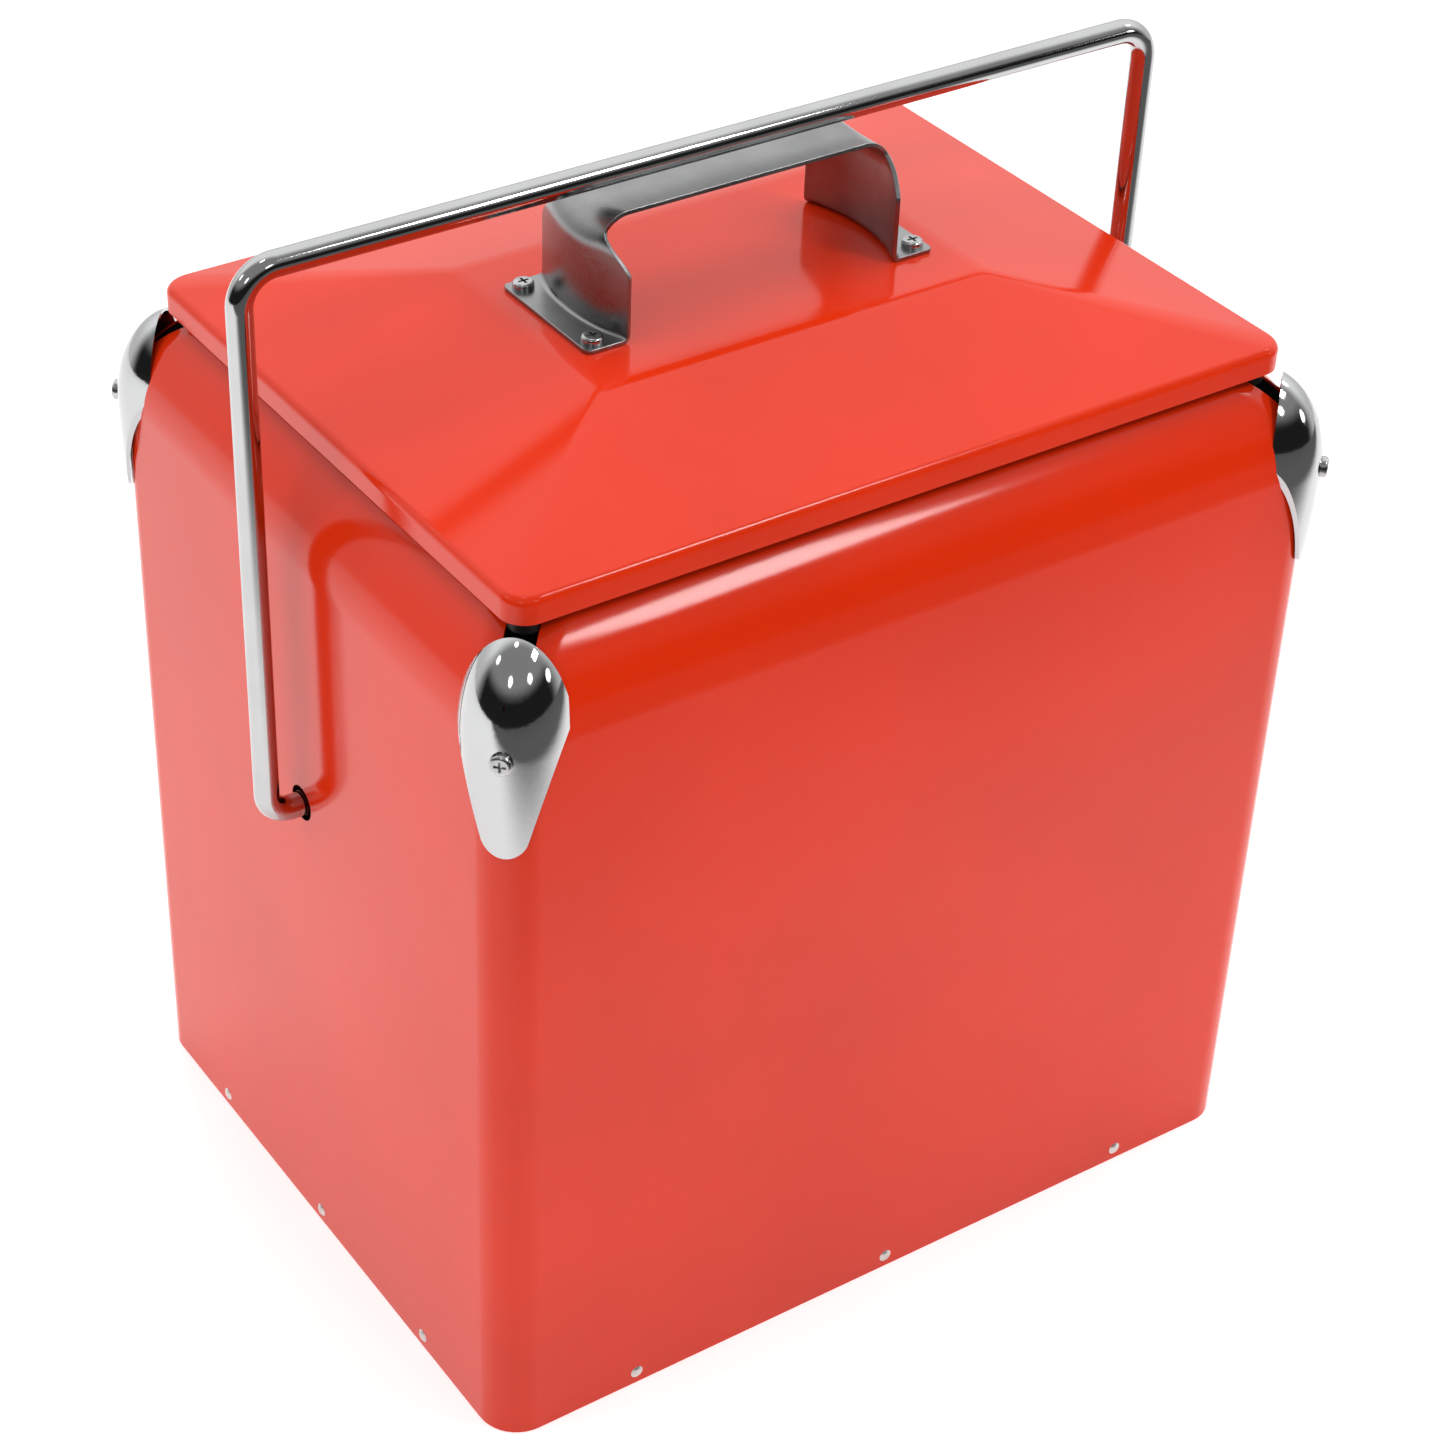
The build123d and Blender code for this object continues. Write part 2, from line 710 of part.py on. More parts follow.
with BuildPart() as lid_handle:
    add(strap_outside)
    add(strap_inside, mode=Mode.SUBTRACT)
    with BuildSketch(Plane.YZ) as outline:
        Polygon(
            (handle_width / 2, lid_top),
            (handle_width / 2, shoulder_level),
            (bridge_half, waist_level),
            (bridge_half, handle_lip + bridge_dish),
            (-bridge_half, handle_lip + bridge_dish),
            (-bridge_half, waist_level),
            (-handle_width / 2, shoulder_level),
            (-handle_width / 2, lid_top),
            align=None,
        )
        for level, radius in ((shoulder_level, handle_shoulder_radius), (waist_level, handle_waist_radius)):
            corners_there = outline.vertices().filter_by_position(Axis.Y, level - on_level, level + on_level)
            fillet(corners_there, radius)
    extrude(amount=body_length, both=True, mode=Mode.INTERSECT)
    with BuildSketch(Plane.XY.offset(lid_top)) as feet:
        Rectangle(2 * flange_end, handle_width)
        fillet(feet.vertices(), flange_corner_radius)
    extrude(amount=strap)
    add(strap_inside, mode=Mode.SUBTRACT)
    with Locations((0, 0, lid_top)):
        with Locations(*handle_screw_points):
            Cylinder(screw_diameter / 2 + hole_clearance, 4 * strap, mode=Mode.SUBTRACT)
save(lid_handle.part, "lid_handle")

group(
    screw_piece,
    [Plane((x, y, lid_top + strap)) for x, y in handle_screw_points],
    "lid_handle_screws",
)
group(
    nut_piece,
    [Plane((x, y, lid_top - sheet)) for x, y in handle_screw_points],
    "lid_handle_nuts",
)
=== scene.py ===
"""Looks of a steel-clad picnic cooler: enamelled body and lid, chromed bail, handle and corner guards.

The file is laid out as an add-on and runs as a script. Lengths are in metres on the frame's own axes:
X runs along the long side, -Y is the front and +Z is up.
"""

from math import cos, pi, radians, sin, sqrt

import bmesh
import bpy
from bpy.props import FloatProperty, FloatVectorProperty, IntProperty, PointerProperty
from mathutils import Matrix, Vector


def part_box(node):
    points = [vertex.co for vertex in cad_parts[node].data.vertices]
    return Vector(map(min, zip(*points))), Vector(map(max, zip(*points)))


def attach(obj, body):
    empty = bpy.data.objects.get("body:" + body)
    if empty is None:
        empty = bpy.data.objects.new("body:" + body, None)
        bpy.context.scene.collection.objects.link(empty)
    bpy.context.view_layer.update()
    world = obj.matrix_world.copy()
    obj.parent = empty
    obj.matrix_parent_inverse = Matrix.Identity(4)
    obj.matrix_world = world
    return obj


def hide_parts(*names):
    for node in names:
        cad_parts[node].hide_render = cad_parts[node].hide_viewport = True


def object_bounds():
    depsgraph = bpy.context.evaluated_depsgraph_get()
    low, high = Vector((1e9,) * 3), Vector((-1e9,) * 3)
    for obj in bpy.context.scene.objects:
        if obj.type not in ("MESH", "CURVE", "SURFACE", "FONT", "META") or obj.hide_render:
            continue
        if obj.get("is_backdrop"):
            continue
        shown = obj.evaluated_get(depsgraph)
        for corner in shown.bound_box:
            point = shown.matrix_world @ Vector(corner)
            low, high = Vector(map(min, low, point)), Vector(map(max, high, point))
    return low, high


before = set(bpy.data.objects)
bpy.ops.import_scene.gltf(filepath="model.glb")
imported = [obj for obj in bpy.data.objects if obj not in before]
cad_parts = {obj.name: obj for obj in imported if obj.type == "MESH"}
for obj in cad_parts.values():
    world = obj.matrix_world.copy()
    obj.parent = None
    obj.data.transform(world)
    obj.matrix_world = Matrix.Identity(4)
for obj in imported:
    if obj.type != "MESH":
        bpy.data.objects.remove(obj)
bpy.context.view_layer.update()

bl_info = {
    "name": "Picnic cooler",
    "version": (1, 0, 0),
    "blender": (4, 5, 0),
    "location": "3D View > Sidebar > Cooler",
    "description": "Builds the visible pieces and finishes of a steel-clad picnic cooler around its frame",
    "category": "Object",
}


# Settings -------------------------------------------------------------------------------------


def length(name, description, default):
    """A size that a user may change."""
    return FloatProperty(
        name=name, description=description, default=default, min=0.0, unit="LENGTH", precision=5
    )


def share(name, description, default):
    """A quantity between nothing and all."""
    return FloatProperty(
        name=name, description=description, default=default, min=0.0, max=1.0, subtype="FACTOR"
    )


def angle(name, description, degrees):
    """An angle, shown in degrees and kept in radians."""
    return FloatProperty(
        name=name, description=description, default=radians(degrees), subtype="ANGLE", precision=4
    )


def amount(name, description, default):
    """A brightness, a power in watts or a focal length in millimetres."""
    return FloatProperty(name=name, description=description, default=default, min=0.0)


def colour(name, description, default):
    """A base colour, as linear red, green and blue."""
    return FloatVectorProperty(
        name=name, description=description, default=default, min=0.0, max=1.0, subtype="COLOR"
    )


class COOLER_PG_sheet(bpy.types.PropertyGroup):
    """Pressed steel of the body and lid."""

    thickness: length("Sheet", "Thickness of the body and lid sheet", 0.0008)
    corner: length("Body corner", "Outside radius of the body's upright corners", 0.014)
    shoulder: length("Shoulder", "Outside radius of the bent-in shoulders", 0.038)
    mouth_land: length("Mouth land", "Flat width between a shoulder and the mouth", 0.0015)
    slot_width: length("Slot width", "Gap between neighbouring shoulders at a corner", 0.010)
    slot_reach: length("Slot reach", "How far the gap runs out from the corner's axis", 0.008)
    slot_length: length("Slot length", "Length of the gap along the corner's diagonal", 0.029)
    lid_corner: length("Lid corner", "Radius of the lid's upright corners", 0.0086)
    lid_rim: length("Lid rim", "Height of the lid's upright rim", 0.0086)
    lid_edge: length("Lid edge", "Radius between the rim and the slopes", 0.0026)
    plateau_length: length("Plateau length", "Length of the lid's flat top", 0.148)
    plateau_depth: length("Plateau depth", "Depth of the lid's flat top", 0.090)
    crease: length("Crease", "Width over which a slope bends into the flat top", 0.009)


class COOLER_PG_strap(bpy.types.PropertyGroup):
    """Bent strap of the lid handle."""

    thickness: length("Strap", "Thickness of the handle's strap", 0.0015)
    leg_out: length("Leg reach", "Half the length over the legs at their middle", 0.0575)
    bow: length("Bow", "How far the legs bulge outwards at their middle", 0.0055)
    bridge_width: length("Bridge width", "Width of the strap along the top", 0.028)
    dish: length("Dish", "How far the bridge sinks along its middle", 0.0018)
    bend: length("Bend", "Outside radius between leg and bridge", 0.011)
    foot_bend: length("Foot bend", "Radius between leg and foot", 0.0012)
    narrow_drop: length("Narrowing drop", "Level below the lip where the legs start to narrow", 0.0115)
    narrow_rise: length("Narrowing rise", "Height over which the legs narrow to the bridge", 0.0085)
    foot_corner: length("Foot corner", "Radius of the feet's corners", 0.002)
    edge: length("Edge", "Rounding of the strap's cut edges", 0.00022)


class COOLER_PG_rod(bpy.types.PropertyGroup):
    """Round bar of the bail."""

    top_bend: length("Top bend", "Centre-line radius of the two upper bends", 0.012)
    foot_bend: length("Foot bend", "Centre-line radius of the two lower bends", 0.0085)
    tail: length("Tail", "Length of rod that stands past its retainer", 0.0023)
    end_round: length("End round", "Chamfer at the rod's cut ends", 0.0008)
    sides: IntProperty(name="Sides", description="Facets round the rod", default=40, min=8)


class COOLER_PG_finishes(bpy.types.PropertyGroup):
    """Colours and gloss."""

    enamel: colour("Enamel", "Red of the stoved enamel", (0.70, 0.029, 0.004))
    enamel_roughness: share("Enamel roughness", "Roughness of the enamel", 0.12)
    chrome: colour("Chrome", "Reflectance of the polished chrome", (0.48, 0.484, 0.488))
    chrome_roughness: share("Chrome roughness", "Roughness of the polished chrome", 0.06)
    satin: colour("Satin chrome", "Reflectance of the handle's duller plating", (0.30, 0.302, 0.305))
    satin_roughness: share("Satin roughness", "Roughness of the handle's plating", 0.30)
    aluminium: colour("Aluminium", "Reflectance of the rivets", (0.72, 0.72, 0.70))
    zinc: colour("Zinc", "Reflectance of the zinc-plated pieces", (0.58, 0.60, 0.61))
    liner: colour("Liner", "White of the moulded liners", (0.82, 0.82, 0.79))
    rubber: colour("Rubber", "Black of the gasket", (0.012, 0.012, 0.012))
    bush: colour("Bush", "Black of the moulded bushes", (0.02, 0.02, 0.021))
    # Foam kept near black: it paints the shade seen through the open corner slots, not a known foam colour
    foam: colour("Foam", "Charcoal of the rigid foam", (0.012, 0.012, 0.013))


class COOLER_PG_studio(bpy.types.PropertyGroup):
    """Floor, lights and camera."""

    floor_radius: length("Floor radius", "Reach of the round floor", 2.6)
    floor: colour("Floor", "Colour of the floor", (0.93, 0.93, 0.93))
    floor_glow: amount("Floor glow", "Light given off by the floor", 0.42)
    key_power: amount("Key power", "Power of the light that streaks the front shoulder", 3.2)
    side_power: amount("Side power", "Power of the broad light on the left", 8.0)
    top_power: amount("Top power", "Power of the broad light overhead", 10.0)
    spot_power: amount("Spot power", "Power of each round ceiling light", 1.2)
    spot_size: length("Spot size", "Diameter of the round ceiling lights", 0.36)
    spot_distance: length("Spot distance", "From the chest's middle to each ceiling light", 2.0)
    focal_length: amount("Focal length", "Camera lens in millimetres", 82.56)
    shift_x: FloatProperty(name="Shift X", description="Sideways lens shift", default=0.0675)
    shift_y: FloatProperty(name="Shift Y", description="Upward lens shift", default=0.0139)
    camera_place: FloatVectorProperty(
        name="Camera place",
        description="Where the camera stands",
        default=(-0.55247, -0.78126, 0.85148),
        subtype="XYZ",
        unit="LENGTH",
        precision=5,
    )
    azimuth: angle("Azimuth", "Turn of the view from the front", -33.635)
    elevation: angle("Elevation", "Slope of the view downwards", 36.147)
    roll: angle("Roll", "Turn about the line of sight", 1.309)


class COOLER_PG_settings(bpy.types.PropertyGroup):
    """All settings of the cooler."""

    sheet: PointerProperty(type=COOLER_PG_sheet)
    strap: PointerProperty(type=COOLER_PG_strap)
    rod: PointerProperty(type=COOLER_PG_rod)
    finishes: PointerProperty(type=COOLER_PG_finishes)
    studio: PointerProperty(type=COOLER_PG_studio)


# Materials ------------------------------------------------------------------------------------


class Signal:
    """A number that varies over a surface. Arithmetic on it adds the nodes that work it out."""

    def __init__(self, finish, socket):
        self.finish = finish
        self.socket = socket

    def math(self, operation, *values):
        """Math node on these values, in order."""
        return self.finish.node("ShaderNodeMath", {"operation": operation}, dict(enumerate(values)))

    def __add__(self, other):
        return self.math("ADD", self, other)

    def __radd__(self, other):
        return self.math("ADD", other, self)

    def __sub__(self, other):
        return self.math("SUBTRACT", self, other)

    def __rsub__(self, other):
        return self.math("SUBTRACT", other, self)

    def __mul__(self, other):
        return self.math("MULTIPLY", self, other)

    def __rmul__(self, other):
        return self.math("MULTIPLY", other, self)

    def above(self, start, end):
        """Rises smoothly from 0 at start to 1 at end."""
        return self.finish.node(
            "ShaderNodeMapRange",
            {"interpolation_type": "SMOOTHSTEP"},
            {"Value": self, "From Min": start, "From Max": end},
        )


class Finish:
    """A procedural material under construction, on one principled shader."""

    def __init__(self, name, tree=None):
        if tree is None:
            self.material = bpy.data.materials.new(name)
            self.material.use_nodes = True
            tree = self.material.node_tree
        self.tree = tree
        self.tree.nodes.clear()

    def node(self, kind, settings=None, inputs=None, output=0):
        """Adds a node: its settings first, then the values or links of its sockets."""
        made = self.tree.nodes.new(kind)
        for name, value in (settings or {}).items():
            setattr(made, name, value)
        for name, value in (inputs or {}).items():
            if isinstance(value, Signal):
                self.tree.links.new(value.socket, made.inputs[name])
            else:
                made.inputs[name].default_value = value
        return Signal(self, made.outputs[output]) if made.outputs else None

    def place(self, stretch=(1.0, 1.0, 1.0)):
        """Object coordinates, stretched along each axis."""
        here = self.node("ShaderNodeTexCoord", output="Object")
        return self.node("ShaderNodeVectorMath", {"operation": "MULTIPLY"}, {0: here, 1: stretch})

    def noise(self, scale, detail=2.0, roughness=0.5, stretch=(1.0, 1.0, 1.0)):
        """Cloudy pattern about 0.5, with scale features to the metre."""
        return self.node(
            "ShaderNodeTexNoise",
            {},
            {"Vector": self.place(stretch), "Scale": scale, "Detail": detail, "Roughness": roughness},
        )

    def specks(self, scale, size):
        """1 inside small scattered dots, scale cells to the metre, size as a share of a cell."""
        return 1.0 - self.cells(scale).above(size * 0.6, size)

    def cells(self, scale):
        """Distance from the middle of each of many uneven cells, scale cells to the metre."""
        return self.node("ShaderNodeTexVoronoi", {}, {"Vector": self.place(), "Scale": scale})

    def scratches(self, scale, along):
        """Thin sparse lines that run along one axis."""
        stretch = [0.03 if axis == along else 1.0 for axis in "XYZ"]
        return self.noise(scale, 3.0, 0.6, stretch).above(0.66, 0.72)

    def mix(self, amount, first, second):
        """Colour between two colours."""
        first_colour, second_colour, colour_out = 6, 7, 2
        values = {"Factor": amount, first_colour: first, second_colour: second}
        return self.node("ShaderNodeMix", {"data_type": "RGBA"}, values, colour_out)

    def bump(self, height, depth, normal=None):
        """Normal of a surface raised by a pattern, whose full height is depth."""
        inputs = {"Height": height, "Distance": depth, "Strength": 1.0}
        if normal is not None:
            inputs["Normal"] = normal
        return self.node("ShaderNodeBump", {}, inputs)

    def shade(self, **values):
        """Closes the material with the principled shader."""
        sockets = {name.replace("_", " ").title(): value for name, value in values.items()}
        if "Ior" in sockets:
            sockets["IOR"] = sockets.pop("Ior")
        shader = self.node("ShaderNodeBsdfPrincipled", {}, sockets)
        self.node("ShaderNodeOutputMaterial", {}, {"Surface": shader})
        return self.material


black = (0.0, 0.0, 0.0, 1.0)
white = (1.0, 1.0, 1.0, 1.0)


def opaque(rgb):
    """Colour with full cover."""
    return (*rgb, 1.0)


def tinted(rgb, factor):
    """Colour made lighter or darker."""
    return (*(min(part * factor, 1.0) for part in rgb), 1.0)


def enamel_finish(look):
    """Stoved enamel on thin sheet: fine orange peel over slow waves in the panels."""
    made = Finish("stoved_enamel")
    cloud = made.noise(9.0, 3.0)
    peel = made.noise(620.0, 2.0)
    wave = made.noise(5.5, 1.0)
    dust = made.specks(240.0, 0.05)
    colour_here = made.mix(cloud.above(0.3, 0.7), tinted(look.enamel, 0.95), tinted(look.enamel, 1.05))
    colour_here = made.mix(dust * 0.25, colour_here, tinted(look.enamel, 0.6))
    rough = look.enamel_roughness + (cloud - 0.5) * 0.06 + dust * 0.12
    relief = made.bump(peel, 0.0000045, made.bump(wave, 0.0011))
    return made.shade(base_color=colour_here, roughness=rough, normal=relief, ior=1.36)


def chrome_finish(look):
    """Bright plating over pressed steel, faintly pitted and smeared."""
    made = Finish("bright_chrome")
    smear = made.noise(60.0, 4.0)
    grain = made.noise(1500.0, 3.0, 0.6)
    pits = made.specks(900.0, 0.09)
    colour_here = made.mix(pits * 0.5, opaque(look.chrome), tinted(look.chrome, 0.45))
    rough = look.chrome_roughness + (smear - 0.4) * 0.07 + pits * 0.2
    relief = made.bump(grain - pits * 0.5, 0.0000055)
    return made.shade(base_color=colour_here, metallic=1.0, roughness=rough, normal=relief)


def rod_finish(look):
    """Bright plating on drawn bar, with a fine grain and light handling marks."""
    made = Finish("rod_chrome")
    smear = made.noise(40.0, 4.0)
    grain = made.noise(1100.0, 2.0)
    colour_here = made.mix(smear.above(0.35, 0.75), tinted(look.chrome, 0.93), opaque(look.chrome))
    rough = look.chrome_roughness + (smear - 0.3) * 0.10
    relief = made.bump(grain, 0.0000035)
    return made.shade(base_color=colour_here, metallic=1.0, roughness=rough, normal=relief)


def satin_finish(look):
    """Duller plating of the strap, brushed across its length, with smudges."""
    made = Finish("satin_chrome")
    brush = made.noise(420.0, 4.0, 0.65, (1.0, 0.05, 1.0))
    smear = made.noise(45.0, 4.0)
    colour_here = made.mix(smear.above(0.3, 0.75), tinted(look.satin, 0.78), tinted(look.satin, 1.08))
    rough = look.satin_roughness + (smear - 0.5) * 0.16 + (brush - 0.5) * 0.10
    relief = made.bump(brush, 0.000012)
    return made.shade(base_color=colour_here, metallic=1.0, roughness=rough, normal=relief)


def metal_finish(name, rgb, roughness, scale):
    """Plain worked metal: dull clouds, small scratches and darker pits."""
    made = Finish(name)
    cloud = made.noise(scale, 4.0, 0.6)
    marks = made.scratches(scale * 6.0, "X")
    pits = made.specks(scale * 8.0, 0.12)
    colour_here = made.mix(cloud.above(0.3, 0.75), tinted(rgb, 0.72), tinted(rgb, 1.1))
    colour_here = made.mix(pits * 0.6, colour_here, tinted(rgb, 0.35))
    rough = roughness + (cloud - 0.5) * 0.25 + marks * 0.1
    relief = made.bump(cloud - marks * 0.3, 0.00002)
    return made.shade(base_color=colour_here, metallic=1.0, roughness=rough, normal=relief)


def moulded_finish(name, rgb, roughness, grain_scale, grain_depth):
    """Moulded plastic or rubber with a fine grain and slightly uneven gloss."""
    made = Finish(name)
    cloud = made.noise(18.0, 3.0)
    grain = made.noise(grain_scale, 2.0)
    colour_here = made.mix(cloud.above(0.3, 0.7), tinted(rgb, 0.93), tinted(rgb, 1.04))
    rough = roughness + (cloud - 0.5) * 0.12 + (grain - 0.5) * 0.08
    relief = made.bump(grain, grain_depth)
    return made.shade(base_color=colour_here, roughness=rough, normal=relief, ior=1.49)


def foam_painted_shade_finish(look):
    """Rigid foam: closed cells that show as pores, kept near black to paint the shade seen through the open
    corner slots.
    """
    made = Finish("rigid_foam")
    cells = made.cells(700.0)
    cloud = made.noise(25.0, 3.0)
    # Charcoal tones here stand in for painted shade inside the corner slots
    colour_here = made.mix(cells * 0.7 + cloud * 0.3, tinted(look.foam, 0.8), opaque(look.foam))
    rough = 0.85 + (cloud - 0.5) * 0.1
    return made.shade(base_color=colour_here, roughness=rough, normal=made.bump(cells, 0.0003))


def floor_finish(studio):
    """Smooth matt floor of barely uneven tone, which polished pieces mirror more dimly far in front."""
    made = Finish("studio_floor")
    cloud = made.noise(2.5, 2.0)
    y = made.node("ShaderNodeSeparateXYZ", {}, {"Vector": made.place()}, output="Y")
    mirrored = made.node("ShaderNodeLightPath", output="Is Glossy Ray")
    lit = 1.0 - (0.0 - y).above(0.25, 0.60) * mirrored * 0.9
    colour_here = made.mix(cloud, tinted(studio.floor, 0.985), opaque(studio.floor))
    return made.shade(
        base_color=made.mix(lit, black, colour_here),
        roughness=0.9 + (cloud - 0.5) * 0.05,
        emission_color=made.mix(lit, black, white),
        emission_strength=studio.floor_glow,
    )


finish_makers = {
    "red_paint": enamel_finish,
    "guard_chrome": chrome_finish,
    "bail_chrome": rod_finish,
    "handle_chrome": satin_finish,
    "foam": foam_painted_shade_finish,
}
# Slot: base colour's setting, roughness and noise features to the metre
metal_kinds = {
    "screw_chrome": ("chrome", 0.22, 260.0),
    "nut_zinc": ("zinc", 0.38, 200.0),
    "plate_zinc": ("zinc", 0.42, 90.0),
    "washer_zinc": ("zinc", 0.36, 160.0),
    "rivet_aluminium": ("aluminium", 0.34, 320.0),
}
# Slot: base colour's setting, roughness, grains to the metre and depth of the grain
moulded_kinds = {
    "liner_plastic": ("liner", 0.34, 900.0, 0.00001),
    "lid_liner_plastic": ("liner", 0.38, 900.0, 0.00001),
    "gasket_rubber": ("rubber", 0.55, 1400.0, 0.00003),
    "bush_plastic": ("bush", 0.4, 1000.0, 0.00001),
}
finishes_made = {}


def finish_for(slot):
    """The finish of one of the record's material slots, made the first time it is asked for."""
    if slot not in finishes_made:
        look = bpy.context.scene.cooler.finishes
        if slot in metal_kinds:
            colour_name, *details = metal_kinds[slot]
            made = metal_finish(slot, getattr(look, colour_name), *details)
        elif slot in moulded_kinds:
            colour_name, *details = moulded_kinds[slot]
            made = moulded_finish(slot, getattr(look, colour_name), *details)
        else:
            made = finish_makers[slot](look)
        finishes_made[slot] = made
    return finishes_made[slot]


# Mesh helpers ---------------------------------------------------------------------------------

level = 1e-6  # Points closer than this are one
smooth_angle = radians(38)  # Sharper edges stay crisp
cut_edge_angle = radians(50)  # Sharper edges are rounded where a piece asks for it


def block(bm, low, high):
    """Six-sided block between two corners."""
    verts = bmesh.ops.create_cube(bm, size=1.0)["verts"]
    bmesh.ops.scale(bm, vec=high - low, verts=verts)
    bmesh.ops.translate(bm, vec=(low + high) / 2, verts=verts)


def round_edges(bm, edges, radius, segments):
    """Rolls edges over to a radius."""
    bmesh.ops.bevel(
        bm, geom=edges, offset=radius, segments=segments, profile=0.5, affect="EDGES",
        material=-1, clamp_overlap=True, loop_slide=True,
    )


def edges_where(bm, test):
    """Edges whose two ends both pass a test on their place."""
    return [edge for edge in bm.edges if all(test(vert.co) for vert in edge.verts)]


def upright(edges):
    """Those edges whose ends are at different levels."""
    return [edge for edge in edges if abs(edge.verts[0].co.z - edge.verts[1].co.z) > level]


def height_of(face):
    """Level of a face's middle."""
    return face.calc_center_median().z


def only(parts, kind):
    """Those parts of a mesh that are of one kind."""
    return [part for part in parts if isinstance(part, kind)]


def thicken(bm, inwards):
    """Gives a sheet its thickness on the side away from its normals."""
    bmesh.ops.remove_doubles(bm, verts=bm.verts, dist=level)
    bmesh.ops.recalc_face_normals(bm, faces=bm.faces)
    bmesh.ops.solidify(bm, geom=bm.faces[:], thickness=inwards)


def piece(name, bm, body, slot, *replaced, bevel=0.0):
    """Makes a finished piece from its mesh and hangs it on its body."""
    mesh = bpy.data.meshes.new(name)
    bm.to_mesh(mesh)
    bm.free()
    for face in mesh.polygons:
        face.use_smooth = True
    mesh.set_sharp_from_angle(angle=smooth_angle)
    made = bpy.data.objects.new(name, mesh)
    bpy.context.scene.collection.objects.link(made)
    mesh.materials.append(finish_for(slot))
    if bevel:
        rounding = made.modifiers.new("edge_rounding", "BEVEL")
        rounding.width = bevel
        rounding.segments = 2
        rounding.limit_method = "ANGLE"
        rounding.angle_limit = cut_edge_angle
    made.modifiers.new("flat_panels", "WEIGHTED_NORMAL").keep_sharp = True
    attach(made, body)
    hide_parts(*replaced)
    return made


# Pieces ---------------------------------------------------------------------------------------


def cut_corner_slot(bm, sheet, axis, out):
    """Opens the gap between two shoulders at the corner with this upright axis and outward diagonal."""
    across = Vector((-out.y, out.x, 0))
    inner = sheet.slot_reach - sheet.slot_length
    edge = sheet.slot_width / 2
    for normal, offset in ((across, edge), (across, -edge), (out, sheet.slot_reach), (out, inner)):
        # Cuts stay near the corner, so they leave the walls whole
        near = [f for f in bm.faces if (f.calc_center_median() - axis).dot(out) > 1.2 * inner]
        parts = set(near)
        for face in near:
            parts.update(face.edges)
            parts.update(face.verts)
        bmesh.ops.bisect_plane(
            bm, geom=list(parts), dist=level, plane_co=axis + normal * offset, plane_no=normal
        )
    gap = []
    for face in bm.faces:
        step = face.calc_center_median() - axis
        along_diagonal = inner < step.dot(out) < sheet.slot_reach
        if along_diagonal and abs(step.dot(across)) < edge and face.normal.z > 0.3:
            gap.append(face)
    bmesh.ops.delete(bm, geom=gap, context="FACES")


class COOLER_OT_shell(bpy.types.Operator):
    """Builds the body shell: one bent sheet with rolled shoulders, open corners and a mouth"""

    bl_idname = "cooler.shell"
    bl_label = "Body shell"

    def execute(self, context):
        sheet = context.scene.cooler.sheet
        low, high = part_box("outer_shell")
        half = (high - low) / 2
        bm = bmesh.new()
        block(bm, low, high)
        round_edges(bm, edges_where(bm, lambda co: co.z > high.z - level), sheet.shoulder, 20)
        mitres = edges_where(bm, lambda co: abs((half.x - abs(co.x)) - (half.y - abs(co.y))) < level)
        round_edges(bm, upright(mitres), sheet.corner, 10)
        top = max(bm.faces, key=height_of)
        bmesh.ops.inset_region(bm, faces=[top], thickness=sheet.mouth_land, use_even_offset=True)
        mouth = max(bm.faces, key=lambda face: (height_of(face), face.calc_area()))
        bottom = min(bm.faces, key=height_of)
        bmesh.ops.delete(bm, geom=[mouth, bottom], context="FACES")
        bm.normal_update()
        for x_side in (-1, 1):
            for y_side in (-1, 1):
                axis = Vector((x_side * (half.x - sheet.corner), y_side * (half.y - sheet.corner), 0))
                cut_corner_slot(bm, sheet, axis, Vector((x_side, y_side, 0)).normalized())
        thicken(bm, sheet.thickness)
        piece("body_shell", bm, "chest", "red_paint", "outer_shell")
        return {"FINISHED"}


class COOLER_OT_lid(bpy.types.Operator):
    """Builds the lid's skin: upright rim, four slopes and a flat top, all from one pressing"""

    bl_idname = "cooler.lid"
    bl_label = "Lid skin"

    def execute(self, context):
        sheet = context.scene.cooler.sheet
        low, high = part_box("lid_skin")
        rim_top = low.z + sheet.lid_rim
        bm = bmesh.new()
        block(bm, low, Vector((high.x, high.y, rim_top)))
        round_edges(bm, upright(bm.edges), sheet.lid_corner, 12)
        top = max(bm.faces, key=height_of)
        raised = bmesh.ops.extrude_face_region(bm, geom=[top])["geom"]
        if top.is_valid:
            bmesh.ops.delete(bm, geom=[top], context="FACES_ONLY")
        plateau = only(raised, bmesh.types.BMVert)
        size = high - low
        shrink = (sheet.plateau_length / size.x, sheet.plateau_depth / size.y, 1.0)
        bmesh.ops.scale(bm, vec=shrink, verts=plateau)
        bmesh.ops.translate(bm, vec=(0, 0, high.z - rim_top), verts=plateau)
        round_edges(bm, edges_where(bm, lambda co: co.z > high.z - level), sheet.crease, 8)
        round_edges(bm, edges_where(bm, lambda co: abs(co.z - rim_top) < level), sheet.lid_edge, 6)
        bottom = min(bm.faces, key=height_of)
        bmesh.ops.delete(bm, geom=[bottom], context="FACES")
        thicken(bm, sheet.thickness)
        piece("lid_pressing", bm, "lid", "red_paint", "lid_skin")
        return {"FINISHED"}


